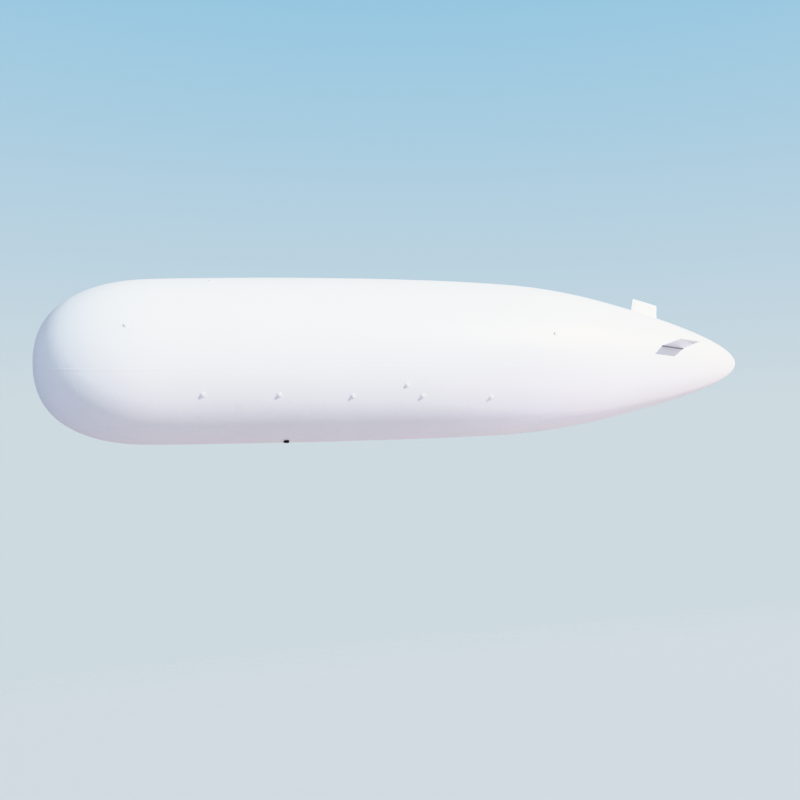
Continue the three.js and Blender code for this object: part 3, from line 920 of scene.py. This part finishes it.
patch, x, y, depth = hemmed_grid(PATCH_LENGTH, PATCH_WIDTH, PATCH_EDGE, (5, 5), PATCH_CORNER)
rim, middle = smooth_step(depth / RIM_SLOPE), smooth_step((depth - BORDER) / BORDER_SLOPE)
height = PATCH_RIM + (PATCH_HEM - PATCH_RIM) * rim + (PATCH_TOP - PATCH_HEM) * middle
move_to(patch, np.stack([x - PATCH_LENGTH / 2, y - PATCH_WIDTH / 2, height], axis=1))
lay_uv(patch, x, y)
drop_rim(patch, PATCH_RIM - SUNK)
print("patch pattern:", len(patch.data.polygons), "faces")

# %% [markdown]
# ## The loop's strap
# The strap keeps its width and its thickness round every bend. A curve with a bevel could do that too, but it
# gives no UV map in metres. So a grid is bent along a middle line that is drawn by arcs and straights. The
# length along that line is u, and the weave then follows the bends.

# %% Loop strap
STRAP_WIDTH, STRAP_THICKNESS, STRAP_EDGE = 0.025, 0.0026, 0.0007
EYE_HEIGHT, EYE_HALF, STRAP_REACH = 0.022, 0.020, 0.0375
STRAP_SEAT = PATCH_TOP + STRAP_THICKNESS / 2 + SUNK
STRAP_TOP, STRAP_LEG = EYE_HEIGHT + STRAP_THICKNESS / 2, EYE_HALF - STRAP_THICKNESS / 2
FOOT_ROUND, TOP_ROUND = 0.004, 0.007
STRAP_COLUMNS = np.array((-1, -0.92, -0.5, 0, 0.5, 0.92, 1))


def strap_line():
    """The middle line of the strap, as sideways place and height, from one sewn end to the other."""
    turn = np.linspace(0, math.pi / 2, 7)
    rise, reach = 1 - np.cos(turn), np.sin(turn)
    bend = -STRAP_LEG - FOOT_ROUND
    tail = np.linspace((-STRAP_REACH, STRAP_SEAT), (bend, STRAP_SEAT), 5)[:-1]
    foot = np.stack([bend + FOOT_ROUND * reach, STRAP_SEAT + FOOT_ROUND * rise], axis=1)
    shoulder = np.stack([-STRAP_LEG + TOP_ROUND * rise, STRAP_TOP - TOP_ROUND * (1 - reach)], axis=1)
    leg = np.linspace(foot[-1], shoulder[0], 5)[1:-1]
    half = np.concatenate([tail, foot, leg, shoulder])
    return np.concatenate([half, [[0, STRAP_TOP]], half[::-1] * (-1, 1)])


line = strap_line()
run = np.concatenate([[0], np.cumsum(np.hypot(*np.diff(line, axis=0).T))])
strap, (side, along) = new_grid(len(STRAP_COLUMNS) - 1, len(line) - 1)
step = line_number(along, len(line))
across = STRAP_COLUMNS[line_number(side, len(STRAP_COLUMNS))] * STRAP_WIDTH / 2
move_to(strap, np.stack([across, line[step, 0], line[step, 1]], axis=1))
lay_uv(strap, run[step], across)
modify(strap, "SOLIDIFY", thickness=STRAP_THICKNESS, offset=0, use_even_offset=True)
outward(strap)
soften(strap, STRAP_EDGE, 60)
print("strap pattern:", len(strap.data.polygons), "faces, cut", round(float(run[-1]), 3), "m long")

# %% [markdown]
# ## The stitches
# Each end of the strap is sewn down with a box and a cross of white thread. They could be a bump, but a bump
# is flat against the light. So each stitch is a small stretched ball, half sunk in the strap, and all the
# stitches of a loop are joined into one piece.

# %% Stitches
STITCH_BOX = (0.0095, 0.0045)  # half sizes of the sewn box, along the balloon and across it
STITCH_PITCH, STITCH_SHIFT = 0.0034, 0.001
STITCH_SIZE = (0.0014, 0.00045, 0.0004)


def stitch_places():
    """Place and direction of each stitch of one box with its cross, about the box's middle."""
    half_x, half_y = STITCH_BOX
    corners = [(-half_x, -half_y), (half_x, -half_y), (half_x, half_y), (-half_x, half_y)]
    runs = list(zip(corners, corners[1:] + corners[:1])) + [(corners[0], corners[2]), (corners[1], corners[3])]
    found = []
    for (x0, y0), (x1, y1) in runs:
        count = max(2, round(math.hypot(x1 - x0, y1 - y0) / STITCH_PITCH))
        for step in range(count):
            share = (step + 0.5) / count
            found.append((x0 + (x1 - x0) * share, y0 + (y1 - y0) * share, math.atan2(y1 - y0, x1 - x0)))
    return found


grain = added(bpy.ops.mesh.primitive_uv_sphere_add, segments=8, ring_count=5, radius=1)
grain.data.transform(Matrix.Diagonal((*STITCH_SIZE, 1)))
middle = (STRAP_REACH + STRAP_LEG + FOOT_ROUND) / 2 + STITCH_SHIFT
stitches = []
for side in (-1, 1):
    for x, y, turn in stitch_places():
        place = Matrix.Translation((x, side * middle + y, STRAP_SEAT + STRAP_THICKNESS / 2))
        stitches.append(copy_of(grain, "stitch"))
        stitches[-1].data.transform(place @ Matrix.Rotation(turn, 4, "Z"))
bpy.data.objects.remove(grain)
print("stitches:", len(stitches), end=" ")
stitching = join(stitches)
print("in", len(stitching.data.polygons), "faces")

# %% [markdown]
# ## Laying the loops
# On the real balloon, a flat patch is pressed onto a round envelope. A Shrinkwrap modifier could do the same,
# but it would also flatten the arch. Here, each copy of a pattern is laid on the film with `film_point`,
# where a vertex's height becomes its lift. The right side is the mirror image of the left.

# %% Lay the loops
def lay(pattern, station, degrees):
    """A copy of a flat pattern, laid on the film."""
    twin = copy_of(pattern, pattern.name)
    x, y, height = places(twin).T
    round_to = degrees + np.degrees(y / radius_at(station + x))
    move_to(twin, film_point(station + x, round_to, height))
    return twin


for name, (station, left_degrees) in TIES.items():
    for side, degrees in (("left", left_degrees), ("right", 180 - left_degrees)):
        tie = [f"tie_{name}_{side}"]
        settle(lay(strap, station, degrees), f"strap_{name}_{side}", WEBBING, tie)
        settle(lay(patch, station, degrees), f"patch_{name}_{side}", WELD)
        settle(lay(stitching, station, degrees), f"stitches_{name}_{side}", WEBBING)
for pattern in (strap, patch, stitching):
    bpy.data.objects.remove(pattern)
print("loops laid:", 2 * len(TIES))

# %% [markdown]
# ## Black moulded plastic
# The valve is moulded from black PVC. A steel mould leaves the skin smooth, with a fine grain from the tool,
# and handling adds light scuffs. Its index is the film's, 1.53, and only the pigment differs. Scuffs are
# paler and rougher at once, so one noise drives both colour and roughness.

# %% Valve material
BLACK, BLACK_SCUFFED = linear("#141415"), linear("#2A2A2C")
MOULD_GRAIN, SCUFF = 0.0006, 0.012

MOULDED, node = new_material("black_moulded_pvc")
where = node("TexCoord").outputs["Object"]
grain = node("TexNoise", {"Vector": where, "Scale": 1 / MOULD_GRAIN, "Detail": 2})
scuff = node("TexNoise", {"Vector": where, "Scale": 1 / SCUFF, "Detail": 6, "Roughness": 0.75})
worn = node("MapRange", {"Value": scuff, "From Min": 0.52, "From Max": 0.75})
rough = node("MapRange", {"Value": worn, "To Min": 0.38, "To Max": 0.6})
look = {"Roughness": rough, "IOR": FILM_INDEX}
finish_material(node, worn, BLACK, BLACK_SCUFFED, [(grain, 0.25, 0.0001)], look)
print("valve plastic:", MOULDED.name)

# %% [markdown]
# ## The valve's place
# The valve sits under the keel, and all of it is made in the valve's own frame, where x runs aft and z points
# out of the keel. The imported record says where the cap's hinge is. The frame could be placed by the film
# alone, but it is hung from that point, so that the pin and the cap's knuckle share the joint's axis exactly.

# %% Valve frame
VALVE_STATION = 3.551
HINGE_OUT, HINGE_HEIGHT = 0.045, 0.0281
SEAT, RIM, FLOOR_TOP = 0.0033, 0.0233, 0.0073  # heights of the body's foot, its rim and the bore's floor
hinge = Vector(frame["record"]["behaviour"]["joints"][0]["pos_m"])
before, after = film_point([VALVE_STATION - 0.1, VALVE_STATION + 0.1], -90)
aft = Vector(after - before).normalized()
side = Vector((0, -1, 0))
valve_turn = Matrix((aft, side, aft.cross(side))).transposed()
pin_spot = valve_turn @ Vector((-HINGE_OUT, 0, HINGE_HEIGHT))
valve_place = Matrix.Translation(hinge - pin_spot) @ valve_turn.to_4x4()
print("the valve is at", tuple(round(v, 4) for v in valve_place.translation))
print("the film there is at", film_point(VALVE_STATION, -90).round(4))

# %% [markdown]
# ## The valve's flange
# A ring of film welds the valve to the envelope. It has the same low rim, pressed border and raised middle as
# a loop's patch. A thin cylinder would not bend with the keel, so a ringed circle is shaped on the flat and
# laid on the film like the loops.

# %% Valve flange
FLANGE_RADIUS = 0.075
FLANGE_RINGS = [RIM_SLOPE, 0.006, 0.001, 0.012, 0.012, 0.014]
FLANGE_RAISED = 0.0008

flat_flange, (x, y) = ringed_circle(FLANGE_RADIUS, FLANGE_RINGS)
inwards = FLANGE_RADIUS - np.hypot(x, y)
height = PATCH_RIM + (PATCH_HEM - PATCH_RIM) * smooth_step(inwards / RIM_SLOPE)
height += FLANGE_RAISED * smooth_step((inwards - sum(FLANGE_RINGS[:2])) / FLANGE_RINGS[2])
move_to(flat_flange, np.stack([x, y, height], axis=1))
lay_uv(flat_flange, x, y)
drop_rim(flat_flange, PATCH_RIM - SUNK)
flange = lay(flat_flange, VALVE_STATION, -90)
bpy.data.objects.remove(flat_flange)
settle(flange, "film_valve_flange", WELD, ["valve_flange"])
print("flange:", len(flange.data.polygons), "faces")

# %% [markdown]
# ## Blocks, rods and ears
# The valve's ribs, spokes and tongue are small blocks, its pin and knuckle are rods on the hinge's axis, and
# two ears hold the pin. Sharp edges would look cut, and moulded plastic never has them, so each helper rounds
# its piece as it makes it. An ear is drawn as an outline, filled and extruded, because its head is round and
# its foot is square.

# %% Valve helpers
EAR_RADIUS, EAR_INNER, EAR_OUTER = 0.0046, 0.0066, 0.0116
EAR_ROOT, EAR_CUT, EAR_EDGE = -0.031, 0.004, 0.0005
EAR_FOOT, EAR_SHELF = FLOOR_TOP + 0.001, RIM - 0.0015
ROD_STEPS = 32


def block(x0, x1, y0, y1, z0, z1, edge):
    """A block between these planes, with rounded edges."""
    piece = added(bpy.ops.mesh.primitive_cube_add, size=1)
    size = Matrix.Diagonal((x1 - x0, y1 - y0, z1 - z0, 1))
    piece.data.transform(Matrix.Translation(((x0 + x1) / 2, (y0 + y1) / 2, (z0 + z1) / 2)) @ size)
    soften(piece, edge)
    return piece


def spread(box, count, offset=0.0):
    """Copies of a block, spread evenly round the Z axis."""
    pieces = []
    for number in range(count):
        pieces.append(block(*box))
        pieces[-1].data.transform(Matrix.Rotation((number + offset) * 2 * math.pi / count, 4, "Z"))
    return pieces


def hinge_rod(radius, width, edge):
    """A rod along the hinge's axis."""
    way = {"location": (-HINGE_OUT, 0, HINGE_HEIGHT), "rotation": (math.pi / 2, 0, 0)}
    rod = added(bpy.ops.mesh.primitive_cylinder_add, vertices=ROD_STEPS, radius=radius, depth=width, **way)
    bpy.ops.object.transform_apply(location=True, rotation=True, scale=True)
    soften(rod, edge)
    return rod


def hinge_ear(low, high):
    """One of the two plates that hold the pin, between two planes across it."""
    bend = np.radians(np.arange(180, -1, -15))
    head = [(-HINGE_OUT + EAR_RADIUS * math.cos(a), HINGE_HEIGHT + EAR_RADIUS * math.sin(a)) for a in bend]
    back, front = head[0][0], head[-1][0]
    stem = [(front, EAR_SHELF), (EAR_ROOT, EAR_SHELF), (EAR_ROOT, EAR_FOOT)]
    stem += [(back + EAR_CUT, EAR_FOOT), (back, EAR_FOOT + EAR_CUT)]
    ear = drawn_line([(x, low, z) for x, z in head + stem])
    bpy.ops.mesh.edge_face_add()
    bpy.ops.mesh.extrude_region_move(TRANSFORM_OT_translate={"value": (0, high - low, 0)})
    outward(ear)
    soften(ear, EAR_EDGE)
    return ear


print("the ears leave", round(2000 * EAR_INNER, 1), "mm for the cap's knuckle")

# %% [markdown]
# ## The valve's body
# The body is a cup with grip ribs, a bore for the filling nozzle and, at the bottom, a film flap behind a
# spoked guard. A Boolean union of some 40 pieces would be slow and leave stray edges. In the real mould they
# are one, but here they only have to sink into each other, so they are joined as they are.

# %% Valve body
CUP_SECTION = [
    (0.0, SEAT), (0.0345, SEAT), (0.036, SEAT + 0.0008), (0.036, SEAT + 0.0032), (0.0352, SEAT + 0.004),
    (0.0335, SEAT + 0.0045), (0.0335, RIM - 0.0055), (0.0352, RIM - 0.005), (0.036, RIM - 0.0042),
    (0.036, RIM - 0.001), (0.0352, RIM - 0.0001), (0.0315, RIM), (0.0310, RIM - 0.0008), (0.0285, RIM - 0.0008),
    (0.0280, RIM), (0.0240, RIM), (0.0232, RIM - 0.0006), (0.0230, RIM - 0.0014), (0.0230, FLOOR_TOP + 0.0006),
    (0.0224, FLOOR_TOP - 0.0003), (0.0, FLOOR_TOP - 0.0003),
]  # radius and height from the foot, up the ribbed wall, over the rim's seal groove and down the bore
HUB_SECTION = [
    (0, FLOOR_TOP - 0.001), (0.0055, FLOOR_TOP - 0.001), (0.0055, FLOOR_TOP + 0.0011),
    (0.0047, FLOOR_TOP + 0.0018), (0, FLOOR_TOP + 0.0018),
]
RIB = (0.0325, 0.0356, -0.0009, 0.0009, SEAT + 0.003, RIM - 0.004, 0.0004)  # x, y and z from and to, and edge
SPOKE = (0.003, 0.0232, -0.0011, 0.0011, FLOOR_TOP - 0.001, FLOOR_TOP + 0.0012, 0.0004)
RIB_COUNT, SPOKE_COUNT = 30, 6
CUP_STEPS, HUB_STEPS = 72, 24
PIN = (0.002, 0.0246, 0.0004)  # radius, length and edge

parts = [turned(CUP_SECTION, CUP_STEPS)] + spread(RIB, RIB_COUNT, 0.5) + spread(SPOKE, SPOKE_COUNT)
parts += [turned(HUB_SECTION, HUB_STEPS), hinge_ear(-EAR_OUTER, -EAR_INNER), hinge_ear(EAR_INNER, EAR_OUTER)]
body = join(parts + [hinge_rod(*PIN)])
body.data.transform(valve_place)
settle(body, "moulded_valve_body", MOULDED, ["valve_body"], sharp=25)
print("valve body:", len(body.data.polygons), "faces")

# %% [markdown]
# ## The cap
# The cap is a thick lid with a bevelled edge, a shallow ring on its face and a finger tab opposite the hinge.
# Its tongue ends in a knuckle that is bored for the pin, and both ride with the cap. Because it swings open
# and shows its edges, its pieces are fused by Boolean into one clean solid, and the pin's hole is really
# drilled.

# %% Valve cap
CAP_LOW, CAP_HIGH = RIM + 0.0003, RIM + 0.0093
LID_SECTION = [
    (0.0, CAP_LOW), (0.0345, CAP_LOW), (0.0355, CAP_LOW + 0.0004), (0.036, CAP_LOW + 0.0012),
    (0.036, CAP_HIGH - 0.0024), (0.0355, CAP_HIGH - 0.0014), (0.0345, CAP_HIGH - 0.0005), (0.0335, CAP_HIGH),
    (0.0290, CAP_HIGH), (0.0284, CAP_HIGH - 0.0004), (0.0280, CAP_HIGH - 0.0014), (0.0120, CAP_HIGH - 0.0014),
    (0.0115, CAP_HIGH - 0.0004), (0.0108, CAP_HIGH), (0.0, CAP_HIGH),
]  # radius and height from the middle of the underside round to the middle of the face
TONGUE = (-HINGE_OUT, -0.0325, -0.006, 0.006, CAP_LOW + 0.0002, CAP_HIGH - 0.0022, 0.0008)
TAB = (0.0330, 0.0385, -0.008, 0.008, CAP_LOW + 0.0008, CAP_LOW + 0.0040, 0.0012)
KNUCKLE, PIN_HOLE = (EAR_RADIUS, 0.012, 0.0006), (0.0024, 0.03, 0.0002)

lid = turned(LID_SECTION, CUP_STEPS)
fused = [(block(*TONGUE), "UNION"), (hinge_rod(*KNUCKLE), "UNION"), (block(*TAB), "UNION")]
for piece, operation in fused + [(hinge_rod(*PIN_HOLE), "DIFFERENCE")]:
    modify(lid, "BOOLEAN", object=piece, operation=operation, solver="EXACT")
    bpy.data.objects.remove(piece)
lid.data.transform(valve_place)
settle(lid, "moulded_valve_cap", MOULDED, ["valve_cap"], body="valve_cap", sharp=25)
print("cap:", len(lid.data.polygons), "faces")

# %% [markdown]
# ## The floor
# The floor is plain and pale, and lies low, because the camera looks up from near the ground. A large plane
# would end in a hard horizon. So a disc fades out with distance, by mixing its paint with a clear shader, and
# it meets the backdrop softly.

# %% Floor
FLOOR_BELOW_EYE = 0.3
FLOOR_PALE = "#D6DCDF"
FADE_FROM, FADE_TO, FLOOR_STEPS = 1.2, 9.0, 128

spot = (eye.x, eye.y, eye.z - FLOOR_BELOW_EYE)
size = {"vertices": FLOOR_STEPS, "radius": FADE_TO}
floor = added(bpy.ops.mesh.primitive_circle_add, fill_type="NGON", location=spot, **size)
floor.name = "studio_floor"
floor_material, node = new_material("pale_floor")
distance = node("VectorMath", {0: node("TexCoord").outputs["Object"]}, operation="LENGTH")
span = {"Value": distance, "From Min": FADE_FROM, "From Max": FADE_TO}
gone = node("MapRange", span, interpolation_type="SMOOTHSTEP")
painted = node("BsdfPrincipled", {"Base Color": linear(FLOOR_PALE), "Roughness": 0.9})
mixed = node("MixShader", {0: gone, 1: painted, 2: node("BsdfTransparent")})
node("OutputMaterial", {"Surface": mixed})
floor.data.materials.append(floor_material)
floor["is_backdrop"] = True
print("floor:", FADE_TO, "m in radius,", FLOOR_BELOW_EYE, "m below the eye")

# %% [markdown]
# ## The sun
# One warm white sun shines low from the camera's right. A large lamp near by would light one end of a 12 m
# balloon more than the other, and a sun lamp does not. Its place is read from the shadows of the fin and the
# loops. The neutral tone curve keeps the film white where the sun strikes it, and leaves the shaded colours
# as they are.

# %% Sun
TO_SUN = Vector((0.65, -0.68, 0.33)).normalized()
SUN_STRENGTH, SUN_COLOUR, SUN_AWAY = 3.68, (1.0, 0.95, 0.867), 30

sun = added(bpy.ops.object.light_add, type="SUN", location=TO_SUN * SUN_AWAY)
sun.rotation_euler = TO_SUN.to_track_quat("Z", "Y").to_euler()
sun.data.energy = SUN_STRENGTH
sun.data.angle = math.radians(1)
sun.data.color = SUN_COLOUR
bpy.context.scene.view_settings.view_transform = "Khronos PBR Neutral"
print("the sun stands", round(math.degrees(math.asin(TO_SUN.z)), 1), "degrees high")

# %% [markdown]
# ## The bounce
# Light also comes back up from the ground, and gives the lower tail end a soft, faintly pink glow. The
# surround reaches every side of the balloon, so it can't do that. A wide area lamp under the near side can,
# and the camera doesn't see it.

# %% Bounce
BOUNCE_PLACE, BOUNCE_UPWARD = Vector((3.4, -2.15, -2.51)), Vector((0, -0.3, 0.95))
BOUNCE_SIZE = (4.0, 3.0)
BOUNCE_WATTS, BOUNCE_COLOUR = 13.8, (0.96, 0.83, 1.0)

bounce = added(bpy.ops.object.light_add, type="AREA", location=BOUNCE_PLACE)
bounce.rotation_euler = (-BOUNCE_UPWARD).to_track_quat("Z", "Y").to_euler()
bounce.data.shape = "RECTANGLE"
bounce.data.size, bounce.data.size_y = BOUNCE_SIZE
bounce.data.energy = BOUNCE_WATTS
bounce.data.color = BOUNCE_COLOUR
bounce.visible_camera = False
print("bounce:", BOUNCE_WATTS, "W from", BOUNCE_SIZE, "m")

# %% [markdown]
# ## The surround
# Outdoors, soft light comes from every side, in a different colour from each, and white film shows all of
# them. A picture of the sky could hold them. Eight colours do it in fewer numbers: one for each corner of a
# box round the scene, seen from the camera, and blended along the camera's three axes. The camera itself sees
# a plain pale blue sky, and a light path switch keeps that apart from the fill.

# %% Surround
# The colours of the corners are given low left, low right, high left and high right.
FAR_CORNERS = ((0.27, 0.22, 0.30, 1), (1.56, 1.34, 1.25, 1), (0.18, 0.25, 0.39, 1), (0.77, 0.73, 0.72, 1))
NEAR_CORNERS = ((0.48, 0.58, 0.81, 1), (0.40, 0.34, 0.41, 1), (0.63, 0.84, 1.02, 1), (0.94, 1.00, 0.97, 1))
SKY_LOW, SKY_HIGH, SKY_TOP = "#D4E0E6", "#A0CEE7", 0.45
SPANS = (((1, 0, 0), -1, 1), ((0, 1, 0), -1, 1), ((0, 0, 1), -1, 1), ((0, 1, 0), 0, SKY_TOP))  # axis, from, to

world = bpy.data.worlds.new("pale_surround")
bpy.context.scene.world = world
node = empty_nodes(world)
towards = node("TexCoord").outputs["Generated"]
shares = []
for camera_axis, low, high in SPANS:
    way = camera.matrix_world.to_3x3() @ Vector(camera_axis)
    along = node("VectorMath", {0: towards, 1: way}, operation="DOT_PRODUCT")
    shares.append(node("MapRange", {"Value": along, "From Min": low, "From Max": high}))
rightward, upward, nearer, skyward = shares
sides = []
for low_left, low_right, high_left, high_right in (FAR_CORNERS, NEAR_CORNERS):
    lower = node("Mix", {"Factor": rightward, "A": low_left, "B": low_right}, data_type="RGBA")
    upper = node("Mix", {"Factor": rightward, "A": high_left, "B": high_right}, data_type="RGBA")
    sides.append(node("Mix", {"Factor": upward, "A": lower, "B": upper}, data_type="RGBA"))
fill = node("Mix", {"Factor": nearer, "A": sides[0], "B": sides[1]}, data_type="RGBA")
sky = node("Mix", {"Factor": skyward, "A": linear(SKY_LOW), "B": linear(SKY_HIGH)}, data_type="RGBA")
seen = node("LightPath").outputs["Is Camera Ray"]
shown = node("Mix", {"Factor": seen, "A": fill, "B": sky}, data_type="RGBA")
node("OutputWorld", {"Surface": node("Background", {"Color": shown, "Strength": 1})})
print("surround:", len(world.node_tree.nodes), "nodes")

# %% [markdown]
# ## Size
# The dressed balloon must not outgrow its solids, so the box round its visible pieces is printed.

# %% Finish
low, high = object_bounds()
print("dressed from", tuple(round(v, 3) for v in low), "to", tuple(round(v, 3) for v in high))
